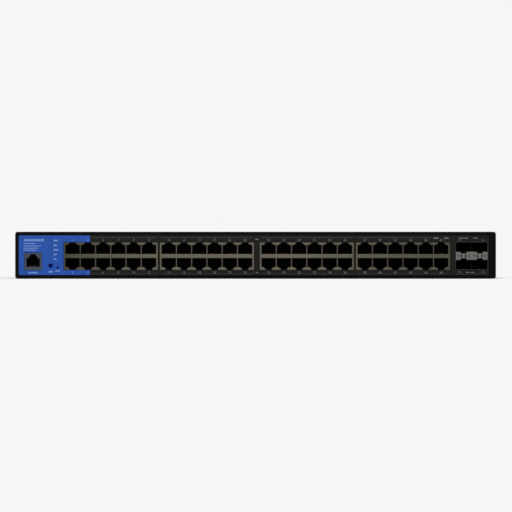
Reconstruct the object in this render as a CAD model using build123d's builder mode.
from build123d import *
import math
import os

# Rackmount 48-port network switch, 1U high, as an assembly of separate pieces.
# Frame: +X to the right seen from the front, +Y from the front to the back, +Z up.
# The origin is on the resting plane, under the centre of the overall box.
os.makedirs("parts", exist_ok=True)

# ---------------------------------------------------------------- dimensions, mm
W = 440.0  # body width between the rack uprights
H = 43.0  # body height, inside one rack unit of 44.45
T = 1.0  # steel sheet
Y_CONN = -129.5  # front of the module cage, the foremost plane
Y_LABEL = -129.1  # front of the overlay labels
Y_PANEL = -128.7  # front of the steel face
Y_JACK = Y_PANEL  # front of the jack and console shields, flush with the steel and just behind the labels
Y_REAR = 127.3  # outside of the rear wall
Y_LIP = 128.3  # outside of the cover's rear lip
Y_BACK = 129.5  # rearmost plane, the heads of the rear screws

LABEL_T = Y_PANEL - Y_LABEL
CORNER_R = 2.4  # outer corners of the face and of the cover
LABEL_Z0, LABEL_Z1 = 3.4, 39.6
LABEL_X0, LABEL_SPLIT, LABEL_X1 = -216.6, -151.3, 213.4
LABEL_R = 1.5

# stacked jack blocks: two rows of six plug cavities each
BLOCK_X = (-132.5, -44.5, 46.9, 134.9)
JACK_Z = 20.7  # centre between the upper and lower row
PITCH = 13.97
COLS = 6
SHIELD_W, SHIELD_H, SHIELD_D, SHIELD_T = 86.0, 25.1, 34.0, 0.25
HOUSING_D = 15.5
PORT_W = 12.05
PORT_BASE = 2.05  # half the strip between the rows
PORT_STEPS = ((9.6, 3.8), (10.9, 2.4), (12.25, 2.4))  # heights above centre and half widths of the latch notch
SHIELD_GROW = 0.62  # the shield's openings are wider than the cavities behind them

PCB_Z0, PCB_T = 6.1, 1.6
PCB_Z1 = PCB_Z0 + PCB_T

CONSOLE_X, CONSOLE_Z0, CONSOLE_W, CONSOLE_H, CONSOLE_D = -203.6, 7.8, 15.9, 15.9, 18.0
CONSOLE_FLOOR = 11.1

SFP_X, SFP_Z, SFP_W, SFP_H, SFP_D, SFP_T = 197.7, 20.9, 29.7, 25.7, 48.5, 0.4
SFP_PORT_W, SFP_PORT_H, SFP_STRIP = 14.0, 8.6, 7.7
SFP_PITCH = SFP_PORT_W + 0.9
LATCH_W = 4.8  # notch in front of each module latch

LED_X, LED_Z = -186.6, (35.0, 30.6, 26.4, 22.2, 18.0)
LED_W, LED_H = 1.7, 1.1
MODE_X, MODE_Z, MODE_HOLE_R, MODE_R = -187.5, 12.0, 2.1, 1.9
RESET_X, RESET_Z, RESET_HOLE_R, RESET_R = -181.1, 10.3, 1.0, 1.15

EAR_Y, EAR_Z, EAR_R = (-110.0, -82.0), (11.5, 31.5), 2.15
SIDE_SCREWS = ((-69.0, 36.0), (40.0, 36.0), (116.0, 36.0))
REAR_SCREWS, REAR_SCREW_Z, LIP_Z0 = (-95.0, 20.0, 135.0), 38.0, 33.8

FAN_Y, FAN_Z, FAN_S, FAN_D, FAN_BORE = (-45.0, 5.0), 21.2, 40.0, 20.0, 18.9
FAN_X0 = W / 2 - 2 * T - 0.1 - FAN_D  # the fan's inner face, its outer face lies on the tray's wall
FAN_X1 = FAN_X0 + FAN_D

VENT_Y, VENT_Z = (-40.0, 2.0, 44.0, 86.0), 20.0

INLET_X, INLET_Z = -175.0, 21.5
GROUND_X, GROUND_Z = -118.0, 12.0
LOCK_X, LOCK_Z = 203.0, 12.0

STANDOFFS = [(x, y) for y in (-72.0, 22.0) for x in (-205.0, -88.0, 1.0, 90.0, 180.0)]
PSU_STANDOFFS = [(x, y) for y in (50.0, 114.0) for x in (-200.0, -76.0)]


def at_y(y):
    """Sketch plane facing the front at depth y: local x is X, local y is Z."""
    return Plane.XZ.offset(-y)


def at_x(x):
    """Sketch plane facing +X: local x is Y, local y is Z."""
    return Plane.YZ.offset(x)


def write(name, part):
    part.label = name
    export_step(part, f"parts/{name}.step")


def group(name, solids):
    """Several separate copies of one kind of piece, in one node."""
    write(name, Compound(list(solids)))


def port_points(cx, cz, up, grow=0.0):
    """Outline of one plug cavity, wider by grow on each side in the shield than in the housing."""
    s = 1 if up else -1
    w, base = PORT_W / 2 + grow, PORT_BASE - grow / 2
    (a, wa), (b, wb), (c, _) = PORT_STEPS
    a, b, c, wa, wb = a + grow, b + grow / 2, c + grow, wa + grow, wb + grow
    pts = [(-w, base), (w, base), (w, a), (wa, a), (wa, b), (wb, b), (wb, c)]
    pts += [(-wb, c), (-wb, b), (-wa, b), (-wa, a), (-w, a)]
    return [(cx + x, cz + s * z) for x, z in pts]


def console_points(cx, floor, grow=0.0):
    """Outline of the console cavity, or of the shield's opening in front of it, wider by grow all round."""
    g = grow
    half = [(5.85 + g, -g), (5.85 + g, 7.3 + g), (3.8 + g, 7.3 + g), (3.8 + g, 9.2 + g), (2.2 + g, 9.2 + g), (2.2 + g, 11.1 + g)]
    pts = half + [(-x, z) for x, z in reversed(half)]
    return [(cx + x, floor + z) for x, z in pts]


def columns(block_x):
    return [block_x + (i - (COLS - 1) / 2) * PITCH for i in range(COLS)]


def cut_connectors(extra):
    """Subtracts the connector openings from the active sketch of a front sheet."""
    for cx in BLOCK_X:
        with Locations((cx, JACK_Z)):
            Rectangle(SHIELD_W + 2 * extra, SHIELD_H + 2 * extra, mode=Mode.SUBTRACT)
    with Locations((SFP_X, SFP_Z)):
        Rectangle(SFP_W + 2 * extra, SFP_H + 2 * extra, mode=Mode.SUBTRACT)
    with Locations((CONSOLE_X, CONSOLE_Z0 + CONSOLE_H / 2)):
        Rectangle(CONSOLE_W + 2 * extra, CONSOLE_H + 2 * extra, mode=Mode.SUBTRACT)


def cut_indicators():
    with Locations((MODE_X, MODE_Z)):
        Circle(MODE_HOLE_R, mode=Mode.SUBTRACT)
    with Locations((RESET_X, RESET_Z)):
        Circle(RESET_HOLE_R, mode=Mode.SUBTRACT)
    with Locations(*[(LED_X, z) for z in LED_Z]):
        Rectangle(LED_W, LED_H, mode=Mode.SUBTRACT)


# ================================================================ enclosure
# The face is one steel plate with flanges turned back inside the cover and the tray.
with BuildPart() as front_panel:
    with BuildSketch(at_y(Y_PANEL)):
        with Locations((0, H / 2)):
            RectangleRounded(W, H, CORNER_R)
        cut_connectors(0.25)
        cut_indicators()
    extrude(amount=-T)
    with BuildSketch(at_y(Y_PANEL + T)):
        with Locations((0, H - T - 0.1 - T / 2)):
            Rectangle(424, T)
        with Locations((0, T + 0.05 + T / 2)):
            Rectangle(424, T)
        for s in (-1, 1):
            with Locations((s * (W / 2 - 2 * T - 0.15 - T / 2), H / 2)):
                Rectangle(T, 30)
    extrude(amount=-10)
    face_edges = front_panel.faces().sort_by(Axis.Y)[0].outer_wire().edges()
    chamfer(face_edges, 0.3)
write("front_panel", front_panel.part)

# Printed overlay, the blue half with the console port and the dark half.
with BuildPart() as label_blue:
    with BuildSketch(at_y(Y_LABEL)):
        with Locations(((LABEL_X0 + LABEL_SPLIT) / 2, (LABEL_Z0 + LABEL_Z1) / 2)):
            Rectangle(LABEL_SPLIT - LABEL_X0, LABEL_Z1 - LABEL_Z0)
        fillet(vertices().group_by(Axis.X)[0], LABEL_R)
        cut_connectors(0.25)
        cut_indicators()
    extrude(amount=-LABEL_T)
write("label_blue", label_blue.part)

with BuildPart() as label_black:
    with BuildSketch(at_y(Y_LABEL)):
        with Locations(((LABEL_X1 + LABEL_SPLIT) / 2, (LABEL_Z0 + LABEL_Z1) / 2)):
            Rectangle(LABEL_X1 - LABEL_SPLIT, LABEL_Z1 - LABEL_Z0)
        fillet(vertices().group_by(Axis.X)[-1], LABEL_R)
        cut_connectors(0.25)
    extrude(amount=-LABEL_T)
write("label_black", label_black.part)

# Folded steel tray: floor, two side walls and the rear wall.
TRAY_X = W / 2 - T - 0.1
TRAY_TOP = H - T - 1.5
with BuildPart() as base_tray:
    with BuildSketch(Plane.XY):
        with Locations((0, (Y_PANEL + T + 0.05 + Y_REAR) / 2)):
            Rectangle(2 * TRAY_X, Y_REAR - Y_PANEL - T - 0.05)
    extrude(amount=TRAY_TOP)
    fillet(base_tray.edges().filter_by(Axis.Z).group_by(Axis.Y)[-1], 1.2)
    fillet(base_tray.faces().sort_by(Axis.Z)[0].edges().sort_by(Axis.Y)[1:], 1.0)
    with BuildSketch(Plane.XY.offset(T)):
        with Locations((0, (-140 + Y_REAR - T) / 2)):
            Rectangle(2 * (TRAY_X - T), Y_REAR - T + 140)
    extrude(amount=H, mode=Mode.SUBTRACT)
    # rear wall: mains inlet, vent slots, lock slot, ground point, cover screws
    with BuildSketch(at_y(Y_REAR)):
        with Locations((INLET_X, INLET_Z)):
            Rectangle(27.4, 20.2, mode=Mode.ADD)
        with Locations((INLET_X - 20, INLET_Z), (INLET_X + 20, INLET_Z), (GROUND_X, GROUND_Z)):
            Circle(1.6)
        with Locations(*[(x, REAR_SCREW_Z) for x in REAR_SCREWS]):
            Circle(1.5)
        with Locations((LOCK_X, LOCK_Z)):
            SlotOverall(7.4, 3.2)
        with Locations((-84, 19.5)):
            with GridLocations(6.0, 0, 9, 1):
                SlotOverall(19, 2.8, rotation=90)
        with Locations((82, 19.5)):
            with GridLocations(6.0, 0, 13, 1):
                SlotOverall(19, 2.8, rotation=90)
    extrude(amount=T, mode=Mode.SUBTRACT)
    # side walls: rack ear nuts, cover screws, air windows
    for s in (-1, 1):
        with BuildSketch(at_x(s * TRAY_X)):
            with Locations(*[(y, z) for y in EAR_Y for z in EAR_Z]):
                Circle(2.7)
            with Locations(*SIDE_SCREWS):
                Circle(1.5)
            if s > 0:
                with Locations(*[(y, FAN_Z) for y in FAN_Y]):
                    Circle(FAN_BORE)
                    with GridLocations(32, 32, 2, 2):
                        Circle(1.55)
            else:
                with Locations(*[(y, VENT_Z) for y in VENT_Y]):
                    Rectangle(38, 27)
        extrude(amount=-s * T, mode=Mode.SUBTRACT)
    # floor: foot recesses and the recess for the rating label
    with BuildSketch(Plane.XY):
        with Locations(*[(x, y) for x in (-190, 190) for y in (-102, 102)]):
            Circle(11)
        with Locations((0, 40)):
            RectangleRounded(96, 46, 2)
    extrude(amount=0.35, mode=Mode.SUBTRACT)
write("base_tray", base_tray.part)

# Cover: top, two outer sides and a short rear lip.
HEX_R = 2.3  # corner radius of one vent hole
COVER_Z0 = 2.4  # lower edge of the cover's sides
with BuildPart() as top_cover:
    with BuildSketch(at_y(Y_PANEL + T + 0.05)):
        with Locations((0, (COVER_Z0 + H) / 2)):
            Rectangle(W, H - COVER_Z0)
        fillet(vertices().group_by(Axis.Y)[-1], CORNER_R)
        with BuildSketch(mode=Mode.PRIVATE) as inner:
            with Locations((0, (H - T) / 2)):
                Rectangle(W - 2 * T, H - T)
            fillet(inner.vertices().group_by(Axis.Y)[-1], CORNER_R - T)
        add(inner.sketch, mode=Mode.SUBTRACT)
    extrude(amount=-(Y_REAR - Y_PANEL - T - 0.05))
    with BuildSketch(at_y(Y_REAR)):
        with Locations((0, (LIP_Z0 + H) / 2)):
            Rectangle(W, H - LIP_Z0)
        fillet(vertices().group_by(Axis.Y)[-1], CORNER_R)
        fillet(vertices().group_by(Axis.Y)[0], 1.0)
        with Locations(*[(x, REAR_SCREW_Z) for x in REAR_SCREWS]):
            Circle(1.65, mode=Mode.SUBTRACT)
    extrude(amount=-T)
    fillet(top_cover.edges().filter_by(Axis.X).group_by(Axis.Y)[-1].sort_by(Axis.Z)[-1:], 0.8)
    for s in (-1, 1):
        with BuildSketch(at_x(s * W / 2)):
            with Locations(*[(y, z) for y in EAR_Y for z in EAR_Z]):
                Circle(EAR_R)
            if s > 0:
                for y in FAN_Y:
                    for row in range(-3, 4):
                        for col in range(-4, 5):
                            dy = col * 5.0 + (2.5 if row % 2 else 0)
                            dz = row * 4.6
                            if math.hypot(dy, dz) < 16.4:
                                with Locations((y + dy, FAN_Z + dz)):
                                    RegularPolygon(HEX_R, 6, rotation=30)
            else:
                for y in VENT_Y:
                    for row in range(-2, 3):
                        cols = range(-3, 4) if row % 2 == 0 else range(-3, 3)
                        for col in cols:
                            with Locations((y + col * 5.0 + (2.5 if row % 2 else 0), VENT_Z + row * 4.6)):
                                RegularPolygon(HEX_R, 6, rotation=30)
        extrude(amount=-s * T, mode=Mode.SUBTRACT)
        # countersinks of the flat-head side screws
        for y, z in SIDE_SCREWS:
            with BuildSketch(at_x(s * W / 2)):
                with Locations((y, z)):
                    Circle(2.65)
            with BuildSketch(at_x(s * (W / 2 - T))):
                with Locations((y, z)):
                    Circle(1.65)
            loft(mode=Mode.SUBTRACT)
write("top_cover", top_cover.part)


# Flat-head cross-recess screw along +X, its head's face at x = 0, pointing to -X.
def flat_screw(head_r, shank_r, cone, length, recess=0.8):
    with BuildPart() as screw:
        with BuildSketch(Plane.YZ):
            Circle(head_r)
        with BuildSketch(Plane.YZ.offset(-cone)):
            Circle(shank_r)
        loft()
        with BuildSketch(Plane.YZ.offset(-cone)):
            Circle(shank_r)
        extrude(amount=-(length - cone))
        with BuildSketch(Plane.YZ):
            Rectangle(head_r * 1.1, head_r * 0.26)
            Rectangle(head_r * 0.26, head_r * 1.1)
        extrude(amount=-recess, mode=Mode.SUBTRACT)
        chamfer(screw.faces().sort_by(Axis.X)[0].edges(), 0.3)
    return screw.part


# Pan-head cross-recess screw along +Z, the underside of its head at z = 0, shank down.
def pan_screw(head_r, head_h, shank_r, length, recess=0.7):
    with BuildPart() as screw:
        with BuildSketch(Plane.XY):
            Circle(head_r)
        extrude(amount=head_h)
        fillet(screw.faces().sort_by(Axis.Z)[-1].edges(), head_h * 0.45)
        with BuildSketch(Plane.XY):
            Circle(shank_r)
        extrude(amount=-length)
        chamfer(screw.faces().sort_by(Axis.Z)[0].edges(), 0.25)
        with BuildSketch(Plane.XY.offset(head_h)):
            Rectangle(head_r * 1.15, head_r * 0.28)
            Rectangle(head_r * 0.28, head_r * 1.15)
        extrude(amount=-recess, mode=Mode.SUBTRACT)
    return screw.part


side_screw = flat_screw(2.6, 1.45, 1.0, 4.2)
group(
    "cover_side_screws",
    [side_screw.moved(Location((W / 2, y, z))).solid() for y, z in SIDE_SCREWS]
    + [side_screw.moved(Location((-W / 2, y, z), (0, 0, 180))).solid() for y, z in SIDE_SCREWS],
)
rear_screw = pan_screw(2.7, Y_BACK - Y_LIP, 1.45, 5.0)
group("cover_rear_screws", [rear_screw.moved(Location((x, Y_LIP, REAR_SCREW_Z), (-90, 0, 0))).solid() for x in REAR_SCREWS])

# Ground point: pan-head screw over a cupped washer on the rear wall.
with BuildPart() as ground_screw:
    with BuildSketch(Plane.XY):
        Circle(4.4)
    extrude(amount=0.8)
    with BuildSketch(Plane.XY.offset(0.8)):
        Circle(2.9)
    extrude(amount=1.4)
    fillet(ground_screw.faces().sort_by(Axis.Z)[-1].edges(), 0.55)
    with BuildSketch(Plane.XY):
        Circle(1.5)
    extrude(amount=-6)
    with BuildSketch(Plane.XY.offset(2.2)):
        Rectangle(3.3, 0.8)
        Rectangle(0.8, 3.3)
    extrude(amount=-0.8, mode=Mode.SUBTRACT)
group("ground_screw", [ground_screw.part.moved(Location((GROUND_X, Y_REAR, GROUND_Z), (-90, 0, 0))).solid()])

# Clinch nuts behind the rack ear holes, their shanks pressed into the tray's walls.
NUT_BORE_R = 1.65  # minor radius of an M4 thread
with BuildPart() as clinch_nut:
    with BuildSketch(Plane.YZ):
        RegularPolygon(4.3, 6)
        Circle(NUT_BORE_R, mode=Mode.SUBTRACT)
    extrude(amount=-1.6)
    with BuildSketch(Plane.YZ):
        Circle(2.7)
        Circle(NUT_BORE_R, mode=Mode.SUBTRACT)
    extrude(amount=T)
nut_x = TRAY_X - T
group(
    "ear_clinch_nuts",
    [clinch_nut.part.moved(Location((nut_x, y, z))).solid() for y in EAR_Y for z in EAR_Z]
    + [clinch_nut.part.moved(Location((-nut_x, y, z), (0, 0, 180))).solid() for y in EAR_Y for z in EAR_Z],
)

with BuildPart() as rating_label:
    with BuildSketch(Plane.XY.offset(0.15)):
        with Locations((0, 40)):
            RectangleRounded(94, 44, 1.5)
    extrude(amount=0.2)
write("rating_label", rating_label.part)

# ================================================================ stacked jack blocks
for n, bx in enumerate(BLOCK_X, 1):
    # Stamped shield: face with twelve plug openings, top, sides and back.
    with BuildPart() as jack_shield:
        with BuildSketch(at_y(Y_JACK)):
            with Locations((bx, JACK_Z)):
                Rectangle(SHIELD_W, SHIELD_H)
            for cx in columns(bx):
                for up in (True, False):
                    Polygon(*port_points(cx, JACK_Z, up, SHIELD_GROW), align=None, mode=Mode.SUBTRACT)
        extrude(amount=-0.3)
        with BuildSketch(at_y(Y_JACK + 0.3)):
            with Locations((bx, JACK_Z)):
                Rectangle(SHIELD_W, SHIELD_H)
            with Locations((bx, JACK_Z - SHIELD_T)):
                Rectangle(SHIELD_W - 2 * SHIELD_T, SHIELD_H, mode=Mode.SUBTRACT)
        extrude(amount=-(SHIELD_D - 0.3))
        # the latch notches are open at the front edge of the top wall
        with BuildSketch(at_y(Y_JACK + 0.2)):
            with Locations(*[(cx, JACK_Z + SHIELD_H / 2) for cx in columns(bx)]):
                Rectangle(2 * (PORT_STEPS[2][1] + SHIELD_GROW), 0.9)
        extrude(amount=-3.2, mode=Mode.SUBTRACT)
        with BuildSketch(at_y(Y_JACK + SHIELD_D - SHIELD_T)):
            with Locations((bx, JACK_Z)):
                Rectangle(SHIELD_W, SHIELD_H)
        extrude(amount=-SHIELD_T)
    write(f"jack_shield_{n}", jack_shield.part)

    # Moulded housing with the twelve plug cavities.
    housing_z0 = JACK_Z - SHIELD_H / 2
    housing_z1 = JACK_Z + SHIELD_H / 2 - SHIELD_T - 0.05
    with BuildPart() as jack_housing:
        with BuildSketch(at_y(Y_JACK + 0.35)):
            with Locations((bx, (housing_z0 + housing_z1) / 2)):
                Rectangle(SHIELD_W - 2 * SHIELD_T - 0.1, housing_z1 - housing_z0)
            for cx in columns(bx):
                for up in (True, False):
                    Polygon(*port_points(cx, JACK_Z, up), align=None, mode=Mode.SUBTRACT)
        extrude(amount=-HOUSING_D)
    write(f"jack_housing_{n}", jack_housing.part)

# Contact carriers behind the housings, one for each column.
with BuildPart() as insert:
    with BuildSketch(Plane.XZ):
        with Locations((0, 12.1)):
            Rectangle(13.0, 25.0)
        with Locations((0, 12.0)):
            Rectangle(4.0, 1.2, mode=Mode.SUBTRACT)
    extrude(amount=-17.6)
    chamfer(insert.edges().filter_by(Axis.Z).group_by(Axis.Y)[-1], 1.0)
insert_y = Y_JACK + 0.35 + HOUSING_D + 0.05
group(
    "jack_inserts",
    [insert.part.moved(Location((cx, insert_y, JACK_Z - SHIELD_H / 2))).solid() for bx in BLOCK_X for cx in columns(bx)],
)


# One sprung contact wire: along the cavity's base, folded back at the nose and rising to its free end.
def contact_wire(flip, tail, nose, end, rise):
    s = -1 if flip else 1
    with BuildPart() as wire:
        with BuildSketch(Plane.YZ.offset(-0.22)):
            with BuildLine():
                Polyline((tail, s * 0.3), (nose + 0.4, s * 0.3), (nose, s * 0.72), (end, s * rise))
            trace(line_width=0.3)
        extrude(amount=0.44)
    return wire.part


wire_up = contact_wire(False, HOUSING_D + 0.4, 5.8, 13.2, 3.35)
wire_down = contact_wire(True, HOUSING_D + 0.4, 5.8, 13.2, 3.35)
wires = []
for bx in BLOCK_X:
    for cx in columns(bx):
        for k in range(8):
            x = cx + (k - 3.5) * 1.02
            wires.append(wire_up.moved(Location((x, Y_JACK, JACK_Z + PORT_BASE))).solid())
            wires.append(wire_down.moved(Location((x, Y_JACK, JACK_Z - PORT_BASE))).solid())
group("jack_contacts", wires)

# ================================================================ console jack
console_zc = CONSOLE_Z0 + CONSOLE_H / 2
with BuildPart() as console_shield:
    with BuildSketch(at_y(Y_JACK)):
        with Locations((CONSOLE_X, console_zc)):
            Rectangle(CONSOLE_W, CONSOLE_H)
        Polygon(*console_points(CONSOLE_X, CONSOLE_FLOOR, 0.3), align=None, mode=Mode.SUBTRACT)
    extrude(amount=-0.3)
    with BuildSketch(at_y(Y_JACK + 0.3)):
        with Locations((CONSOLE_X, console_zc)):
            Rectangle(CONSOLE_W, CONSOLE_H)
        with Locations((CONSOLE_X, console_zc - SHIELD_T)):
            Rectangle(CONSOLE_W - 2 * SHIELD_T, CONSOLE_H, mode=Mode.SUBTRACT)
    extrude(amount=-(CONSOLE_D - 0.3))
    with BuildSketch(at_y(Y_JACK + CONSOLE_D - SHIELD_T)):
        with Locations((CONSOLE_X, console_zc)):
            Rectangle(CONSOLE_W, CONSOLE_H)
    extrude(amount=-SHIELD_T)
write("console_shield", console_shield.part)

with BuildPart() as console_housing:
    with BuildSketch(at_y(Y_JACK + 0.35)):
        with Locations((CONSOLE_X, console_zc - 0.15)):
            Rectangle(CONSOLE_W - 2 * SHIELD_T - 0.1, CONSOLE_H - 0.3)
    extrude(amount=-(CONSOLE_D - 0.7))
    with BuildSketch(at_y(Y_JACK + 0.35)):
        Polygon(*console_points(CONSOLE_X, CONSOLE_FLOOR), align=None)
    extrude(amount=-14.0, mode=Mode.SUBTRACT)
write("console_housing", console_housing.part)

console_wire = contact_wire(False, 14.2, 4.4, 12.2, 3.0)
group(
    "console_contacts",
    [console_wire.moved(Location((CONSOLE_X + (k - 3.5) * 1.02, Y_JACK, CONSOLE_FLOOR))).solid() for k in range(8)],
)

# ================================================================ optical module cage, two by two
SFP_PORTS_X = (SFP_X - SFP_PITCH / 2, SFP_X + SFP_PITCH / 2)
SFP_ROWS_Z = (SFP_Z + SFP_STRIP / 2 + SFP_PORT_H / 2, SFP_Z - SFP_STRIP / 2 - SFP_PORT_H / 2)
SFP_FRONT_D = 38.0
with BuildPart() as sfp_cage:
    with BuildSketch(at_y(Y_CONN)):
        with Locations((SFP_X, SFP_Z)):
            Rectangle(SFP_W, SFP_H)
        with Locations(*[(x, z) for x in SFP_PORTS_X for z in SFP_ROWS_Z]):
            Rectangle(SFP_PORT_W, SFP_PORT_H, mode=Mode.SUBTRACT)
        with Locations((SFP_X, SFP_Z)):
            Rectangle(SFP_W - 2 * SFP_T, SFP_STRIP - 2 * SFP_T, mode=Mode.SUBTRACT)
    extrude(amount=-SFP_FRONT_D)
    with BuildSketch(at_y(Y_CONN + SFP_FRONT_D)):
        with Locations((SFP_X, SFP_Z)):
            Rectangle(SFP_W, SFP_H)
            Rectangle(SFP_W - 2 * SFP_T, SFP_H - 2 * SFP_T, mode=Mode.SUBTRACT)
    extrude(amount=-(SFP_D - SFP_FRONT_D))
    with BuildSketch(at_y(Y_CONN + SFP_D - SFP_T)):
        with Locations((SFP_X, SFP_Z)):
            Rectangle(SFP_W, SFP_H)
    extrude(amount=-SFP_T)
    # latch notches in the two inner floors
    for x in SFP_PORTS_X:
        with BuildSketch(at_y(Y_CONN)):
            with Locations((x, SFP_Z)):
                Rectangle(LATCH_W, SFP_STRIP + 0.02)
        extrude(amount=-3.0, mode=Mode.SUBTRACT)
    # the wall between the columns starts behind the front edge
    with BuildSketch(at_y(Y_CONN)):
        with Locations(*[(SFP_X, z) for z in SFP_ROWS_Z]):
            Rectangle(SFP_PITCH - SFP_PORT_W + 0.02, SFP_PORT_H)
    extrude(amount=-2.6, mode=Mode.SUBTRACT)
write("sfp_cage", sfp_cage.part)

# Bright stamped strip between the rows, with the indicator windows and latch notches.
SFP_WINDOWS = ((-11.9, 1), (-2.4, 1), (2.4, -1), (11.9, -1))  # place along the strip, and pointing up or down
with BuildPart() as sfp_face_strip:
    with BuildSketch(at_y(Y_CONN)):
        with Locations((SFP_X, SFP_Z)):
            Rectangle(SFP_W - 2 * SFP_T - 0.1, SFP_STRIP - 2 * SFP_T - 0.1)
        for x in SFP_PORTS_X:
            for s in (-1, 1):
                with Locations((x, SFP_Z + s * 3.4)):
                    Rectangle(LATCH_W, 2.5, mode=Mode.SUBTRACT)
        rows = vertices().group_by(Axis.Y)
        fillet([v for v in rows[0] + rows[-1] if abs(v.X - SFP_X) < 12], 1.15)
        for x in SFP_PORTS_X:
            for s in (-1, 1):
                with Locations((x + s * (LATCH_W / 2 - 0.5), SFP_Z)):
                    Rectangle(1.0, 3.5, mode=Mode.SUBTRACT)
        for x, way in SFP_WINDOWS:
            with Locations((SFP_X + x, SFP_Z)):
                RegularPolygon(1.6, 3, rotation=way * 90, mode=Mode.SUBTRACT)
    extrude(amount=-0.6)
write("sfp_face_strip", sfp_face_strip.part)

with BuildPart() as sfp_light_pipes:
    with BuildSketch(at_y(Y_CONN + 0.05)):
        for x, way in SFP_WINDOWS:
            with Locations((SFP_X + x, SFP_Z)):
                RegularPolygon(1.4, 3, rotation=way * 90)
    extrude(amount=-36.0)
write("sfp_light_pipes", sfp_light_pipes.part)

# Host connector of each column: a body behind both ports with a card receptacle into each.
with BuildPart() as sfp_host_connectors:
    with BuildSketch(at_y(Y_CONN + SFP_FRONT_D + 0.1)):
        with Locations(*[(x, SFP_Z) for x in SFP_PORTS_X]):
            Rectangle(13.2, SFP_H - 2 * SFP_T - 0.4)
    extrude(amount=-(SFP_D - SFP_FRONT_D - SFP_T - 0.4))
    with BuildSketch(at_y(Y_CONN + SFP_FRONT_D + 0.1)):
        with Locations(*[(x, z) for x in SFP_PORTS_X for z in SFP_ROWS_Z]):
            Rectangle(11.8, 4.0)
            Rectangle(9.6, 1.2, mode=Mode.SUBTRACT)
    extrude(amount=5.5)
write("sfp_host_connectors", sfp_host_connectors.part)

# ================================================================ indicators and buttons
with BuildPart() as status_light_pipe:
    with BuildSketch(at_y(Y_PANEL + T + 0.3)):
        with Locations((LED_X, (LED_Z[0] + LED_Z[-1]) / 2)):
            Rectangle(3.2, LED_Z[0] - LED_Z[-1] + 4)
    extrude(amount=-2.2)
    with BuildSketch(at_y(Y_PANEL + T + 0.3)):
        with Locations(*[(LED_X, z) for z in LED_Z]):
            Rectangle(LED_W - 0.15, LED_H - 0.15)
    extrude(amount=T + 0.3 + LABEL_T - 0.05)
write("status_light_pipe", status_light_pipe.part)

# Push rods and the bodies of the two switches that they work. Each rod ends inside its switch.
SWITCH_Y = -119.0
for name, x, z, r, tip in (
    ("mode", MODE_X, MODE_Z, MODE_R, Y_PANEL + 0.1),
    ("reset", RESET_X, RESET_Z, RESET_R, Y_PANEL + T + 0.5),
):
    with BuildPart() as button:
        with BuildSketch(at_y(tip)):
            with Locations((x, z)):
                Circle(r)
        extrude(amount=-(SWITCH_Y + 0.4 - tip))
        chamfer(button.faces().sort_by(Axis.Y)[0].edges(), 0.25)
        with BuildSketch(at_y(SWITCH_Y - 1.6)):
            with Locations((x, z)):
                Circle(r + 0.45)
        extrude(amount=-0.7)
    write(f"{name}_button", button.part)
    with BuildPart() as switch_body:
        with BuildSketch(at_y(SWITCH_Y)):
            with Locations((x, (PCB_Z1 + 0.05 + 15.2) / 2)):
                Rectangle(5.2, 15.2 - PCB_Z1 - 0.05)
        extrude(amount=-3.6)
        with BuildSketch(at_y(SWITCH_Y)):
            with Locations((x, z)):
                Circle(r + 0.15)
        extrude(amount=-1.6, mode=Mode.SUBTRACT)
        chamfer(switch_body.edges().filter_by(Axis.Z).group_by(Axis.Y)[-1], 0.4)
    write(f"{name}_switch_body", switch_body.part)

# ================================================================ main board
with BuildPart() as main_pcb:
    with BuildSketch(Plane.XY.offset(PCB_Z0)):
        Polygon((-214, -127.2), (214, -127.2), (214, -70), (194, -70), (194, 30), (-214, 30), align=None)
        with Locations(*STANDOFFS):
            Circle(1.6, mode=Mode.SUBTRACT)
    extrude(amount=PCB_T)
write("main_pcb", main_pcb.part)

with BuildPart() as standoff:
    with BuildSketch(Plane.XY.offset(T)):
        RegularPolygon(3.2, 6)
        Circle(1.5, mode=Mode.SUBTRACT)
    extrude(amount=PCB_Z0 - T)
group("pcb_standoffs", [standoff.part.moved(Location((x, y, 0))).solid() for x, y in STANDOFFS + PSU_STANDOFFS])
board_screw = pan_screw(2.8, 1.9, 1.45, 6.2)
group("pcb_screws", [board_screw.moved(Location((x, y, PCB_Z1))).solid() for x, y in STANDOFFS + PSU_STANDOFFS])

with BuildPart() as switch_asic:
    with BuildSketch(Plane.XY.offset(PCB_Z1)):
        with Locations((0, -28)):
            Rectangle(31, 31)
    extrude(amount=1.4)
    with BuildSketch(Plane.XY.offset(PCB_Z1 + 1.4)):
        with Locations((0, -28)):
            Rectangle(25, 25)
    extrude(amount=1.0)
write("switch_asic", switch_asic.part)


def finned(cx, cy, z0, size, base, height, fins, fin_t):
    """Extruded heatsink: a base plate with upright fins along Y."""
    with BuildPart() as sink:
        with BuildSketch(Plane.XY.offset(z0)):
            with Locations((cx, cy)):
                Rectangle(size, size)
        extrude(amount=base)
        with BuildSketch(Plane.XY.offset(z0 + base)):
            with Locations((cx, cy)):
                with GridLocations((size - fin_t) / (fins - 1), 0, fins, 1):
                    Rectangle(fin_t, size)
        extrude(amount=height - base)
    return sink.part


write("asic_heatsink", finned(0, -28, PCB_Z1 + 2.4, 58, 3.0, 20.0, 13, 1.2))

PHY_X = (-160, -106, -52, 52, 106, 152)
PHY_Y = -52
with BuildPart() as board_chips:
    with BuildSketch(Plane.XY.offset(PCB_Z1)):
        with Locations(*[(x, PHY_Y) for x in PHY_X]):
            Rectangle(17, 17)
        with Locations((-58, -12), (-58, 4)):
            Rectangle(10, 13)
        with Locations((-36, 12), (44, 10)):
            Rectangle(8, 6)
    extrude(amount=1.3)
write("board_chips", board_chips.part)
group("phy_heatsinks", [finned(x, PHY_Y, PCB_Z1 + 1.3, 23, 2.0, 11.0, 7, 1.0).solid() for x in PHY_X])

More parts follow.
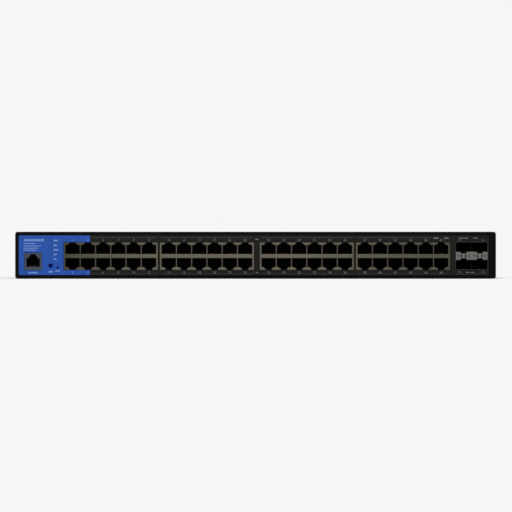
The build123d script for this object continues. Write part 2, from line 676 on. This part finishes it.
with BuildPart() as magnetics_modules:
    with BuildSketch(Plane.XY.offset(PCB_Z1)):
        with Locations(*[(cx, -86.5) for bx in BLOCK_X for cx in columns(bx)]):
            Rectangle(11.6, 13.0)
    extrude(amount=6.2)
    chamfer(magnetics_modules.faces().group_by(Axis.Z)[-1].edges(), 0.5)
write("magnetics_modules", magnetics_modules.part)

with BuildPart() as power_inductors:
    with BuildSketch(Plane.XY.offset(PCB_Z1)):
        with Locations((-150, 8), (-128, 8), (110, 8), (132, 8)):
            RectangleRounded(12, 12, 2)
    extrude(amount=6.5)
    chamfer(power_inductors.faces().group_by(Axis.Z)[-1].edges(), 1.0)
write("power_inductors", power_inductors.part)

with BuildPart() as board_capacitors:
    with BuildSketch(Plane.XY.offset(PCB_Z1)):
        with Locations(*[(x, 8) for x in (-184, -172, -108, -98, 66, 76, 150, 160)]):
            Circle(4.0)
    extrude(amount=11.5)
    fillet(board_capacitors.faces().group_by(Axis.Z)[-1].edges(), 0.7)
write("board_capacitors", board_capacitors.part)

# Headers on the board: one for each fan, one for the supply.
HEADERS = [(183, -45, 7.5, 5.5), (183, 5, 7.5, 5.5), (-60, 24, 16, 6)]
with BuildPart() as pcb_headers:
    with BuildSketch(Plane.XY.offset(PCB_Z1)):
        for x, y, a, b in HEADERS:
            with Locations((x, y)):
                Rectangle(a, b)
    extrude(amount=6.0)
write("pcb_headers", pcb_headers.part)

# ================================================================ power supply
with BuildPart() as psu_board:
    with BuildSketch(Plane.XY.offset(PCB_Z0)):
        with Locations((-138, 82)):
            Rectangle(136, 78)
        with Locations(*PSU_STANDOFFS):
            Circle(1.6, mode=Mode.SUBTRACT)
    extrude(amount=PCB_T)
write("psu_board", psu_board.part)

with BuildPart() as psu_transformer:
    with BuildSketch(Plane.XY.offset(PCB_Z1)):
        with Locations((-122, 84)):
            Rectangle(26, 30)
    extrude(amount=24)
    with BuildSketch(Plane.XY.offset(PCB_Z1 + 4)):
        with Locations((-122, 84)):
            Rectangle(32, 20)
    extrude(amount=16)
write("psu_transformer", psu_transformer.part)

with BuildPart() as psu_bulk_capacitor:
    with BuildSketch(at_y(94)):
        with Locations((-158, PCB_Z1 + 11.2)):
            Circle(11)
    extrude(amount=36)
    fillet(psu_bulk_capacitor.edges(), 1.2)
write("psu_bulk_capacitor", psu_bulk_capacitor.part)

with BuildPart() as psu_heatsinks:
    with BuildSketch(Plane.XY.offset(PCB_Z1)):
        with Locations((-143, 80), (-98, 82)):
            Rectangle(2.0, 52)
    extrude(amount=27)
    with BuildSketch(Plane.XY.offset(PCB_Z1 + 25)):
        with Locations((-95, 82)):
            Rectangle(8, 52)
    extrude(amount=2)
write("psu_heatsinks", psu_heatsinks.part)

with BuildPart() as psu_choke:
    with BuildSketch(Plane.XY.offset(PCB_Z1)):
        with Locations((-188, 84)):
            Circle(9.5)
            Circle(4.0, mode=Mode.SUBTRACT)
    extrude(amount=11)
    fillet(psu_choke.edges().filter_by(GeomType.CIRCLE), 1.8)
write("psu_choke", psu_choke.part)

with BuildPart() as psu_insulator:
    with BuildSketch(Plane.XY.offset(T)):
        with Locations((-138, 82)):
            Rectangle(140, 84)
        with Locations(*PSU_STANDOFFS):
            Circle(3.6, mode=Mode.SUBTRACT)
    extrude(amount=0.4)
write("psu_insulator", psu_insulator.part)

# Mains inlet: flange outside the rear wall, body through it, a recess with three blades.
with BuildPart() as ac_inlet_body:
    with BuildSketch(at_y(Y_REAR + 2.0)):
        with Locations((INLET_X, INLET_Z)):
            RectangleRounded(49.5, 22.4, 5.0)
            with Locations((-20, 0), (20, 0)):
                Circle(1.65, mode=Mode.SUBTRACT)
    extrude(amount=2.0)
    with BuildSketch(at_y(Y_REAR)):
        with Locations((INLET_X, INLET_Z)):
            Rectangle(27.0, 19.8)
    extrude(amount=20.5)
    chamfer(ac_inlet_body.faces().sort_by(Axis.Y)[-1].outer_wire().edges(), 0.4)
    with BuildSketch(at_y(Y_REAR + 2.0)):
        with Locations((INLET_X, INLET_Z)):
            Polygon((-12, -8.2), (12, -8.2), (12, 4.2), (8, 8.2), (-8, 8.2), (-12, 4.2), align=None)
    extrude(amount=16.5, mode=Mode.SUBTRACT)
    for sx in (-20, 20):
        with BuildSketch(at_y(Y_REAR + 2.0)):
            with Locations((INLET_X + sx, INLET_Z)):
                Circle(3.0)
        with BuildSketch(at_y(Y_REAR + 0.65)):
            with Locations((INLET_X + sx, INLET_Z)):
                Circle(1.65)
        loft(mode=Mode.SUBTRACT)
    with BuildSketch(at_y(Y_REAR)):
        with Locations(*[(INLET_X + x, INLET_Z + z) for x, z in ((-7, -2), (7, -2), (0, 2))]):
            Rectangle(2.04, 4.04)
    extrude(amount=21, mode=Mode.SUBTRACT)
write("ac_inlet_body", ac_inlet_body.part)

with BuildPart() as ac_inlet_pins:
    with BuildSketch(at_y(Y_REAR + 0.6)):
        with Locations(*[(INLET_X + x, INLET_Z + z) for x, z in ((-7, -2), (7, -2), (0, 2))]):
            Rectangle(2.0, 4.0)
    extrude(amount=28.5)
    chamfer(ac_inlet_pins.faces().group_by(Axis.Y)[-1].edges(), 0.5)
write("ac_inlet_pins", ac_inlet_pins.part)

inlet_screw = flat_screw(2.9, 1.45, 1.35, 7.0)
group(
    "ac_inlet_screws",
    [inlet_screw.moved(Location((INLET_X + sx, Y_REAR + 2.0, INLET_Z), (0, 0, 90))).solid() for sx in (-20, 20)],
)

# ================================================================ fans on the right wall
fan_xc = (FAN_X0 + FAN_X1) / 2
for n, fy in enumerate(FAN_Y, 1):
    with BuildPart() as fan_frame:
        with BuildSketch(at_x(FAN_X0)):
            with Locations((fy, FAN_Z)):
                RectangleRounded(FAN_S, FAN_S, 3.0)
                Circle(FAN_BORE, mode=Mode.SUBTRACT)
                with GridLocations(32, 32, 2, 2):
                    Circle(1.75, mode=Mode.SUBTRACT)
        extrude(amount=FAN_D)
        with BuildSketch(at_x(FAN_X1 - 2.5)):
            with Locations((fy, FAN_Z)):
                Circle(12.0)
                with PolarLocations(0, 4, start_angle=45):
                    with Locations((15.2, 0)):
                        Rectangle(8.6, 2.4)
                Circle(1.03, mode=Mode.SUBTRACT)
        extrude(amount=2.5)
        with BuildSketch(at_x(FAN_X0 + 5.2)):
            with Locations((fy, FAN_Z)):
                Circle(2.6)
                Circle(1.03, mode=Mode.SUBTRACT)
        extrude(amount=FAN_D - 5.2 - 2.5)
    write(f"fan_frame_{n}", fan_frame.part)

    with BuildPart() as fan_rotor:
        with BuildSketch(at_x(FAN_X0 + 1.6)):
            with Locations((fy, FAN_Z)):
                Circle(12.2)
        extrude(amount=15.3)
        with BuildSketch(at_x(FAN_X0 + 3.6)):
            with Locations((fy, FAN_Z)):
                Circle(10.4)
        extrude(amount=14.0, mode=Mode.SUBTRACT)
        with BuildSketch(at_x(FAN_X0 + 3.4)):
            with Locations((fy, FAN_Z)):
                Circle(1.0)
        extrude(amount=15.8)
        fillet(fan_rotor.faces().sort_by(Axis.X)[0].edges(), 1.2)
        for k in range(7):
            a = 2 * math.pi * k / 7
            out = (0, math.cos(a), math.sin(a))
            for r, chord, turn in ((10.9, 12.0, 42), (18.0, 14.5, 32)):
                origin = (fan_xc - 1.0, fy + r * math.cos(a), FAN_Z + r * math.sin(a))
                with BuildSketch(Plane(origin=origin, x_dir=(1, 0, 0), z_dir=out)):
                    Rectangle(chord, 1.0, rotation=turn)
            loft()
    write(f"fan_rotor_{n}", fan_rotor.part)

with BuildPart() as fan_stators:
    for fy in FAN_Y:
        with BuildSketch(at_x(FAN_X0 + 6.5)):
            with Locations((fy, FAN_Z)):
                Circle(9.4)
                Circle(2.65, mode=Mode.SUBTRACT)
                with PolarLocations(7.6, 4):
                    Rectangle(5.0, 2.2, mode=Mode.SUBTRACT)
        extrude(amount=7.0)
write("fan_stators", fan_stators.part)

fan_screw = pan_screw(2.8, 1.8, 1.45, FAN_D + T)
group(
    "fan_screws",
    [
        fan_screw.moved(Location((FAN_X0, fy + dy, FAN_Z + dz), (0, -90, 0))).solid()
        for fy in FAN_Y
        for dy in (-16, 16)
        for dz in (-16, 16)
    ],
)

# ================================================================ leads held at both ends
def lead(points, radius, r=0.65):
    with BuildPart() as run:
        with BuildLine() as path:
            FilletPolyline(*points, radius=radius)
        with BuildSketch(Plane(origin=path.line @ 0, z_dir=path.line % 0)):
            Circle(r)
        sweep()
    return run.part.solid()


top = PCB_Z1 + 6.0
fan_lead_list = []
for fy in FAN_Y:
    for k, d in enumerate((-1.3, 1.3)):
        fan_lead_list.append(
            lead([(FAN_X0, fy + 10 + d, 36.5), (190, fy + 10 + d, 36.5), (184.0 + d, fy + 0.4 * d, 30), (184.0 + d, fy + 0.4 * d, top)], 4.0)
        )
group("fan_leads", fan_lead_list)

power_lead_list = []
for k in range(4):
    d = (k - 1.5) * 2.4
    power_lead_list.append(
        lead([(-74, 60 + d, PCB_Z1), (-74, 60 + d, 24), (-60 + d, 50 + d, 27), (-60 + d, 24, 24), (-60 + d, 24, top)], 4.0, 0.8)
    )
# from the inlet's blades down to the supply board
for x, z in ((-7, -2), (7, -2), (0, 2)):
    px, pz, py = INLET_X + x, INLET_Z + z, Y_REAR + 0.6 - 28.5
    power_lead_list.append(lead([(px, py, pz), (px, py - 2.4, pz), (px, py - 2.4, PCB_Z1)], 1.6, 0.9))
group("power_leads", power_lead_list)
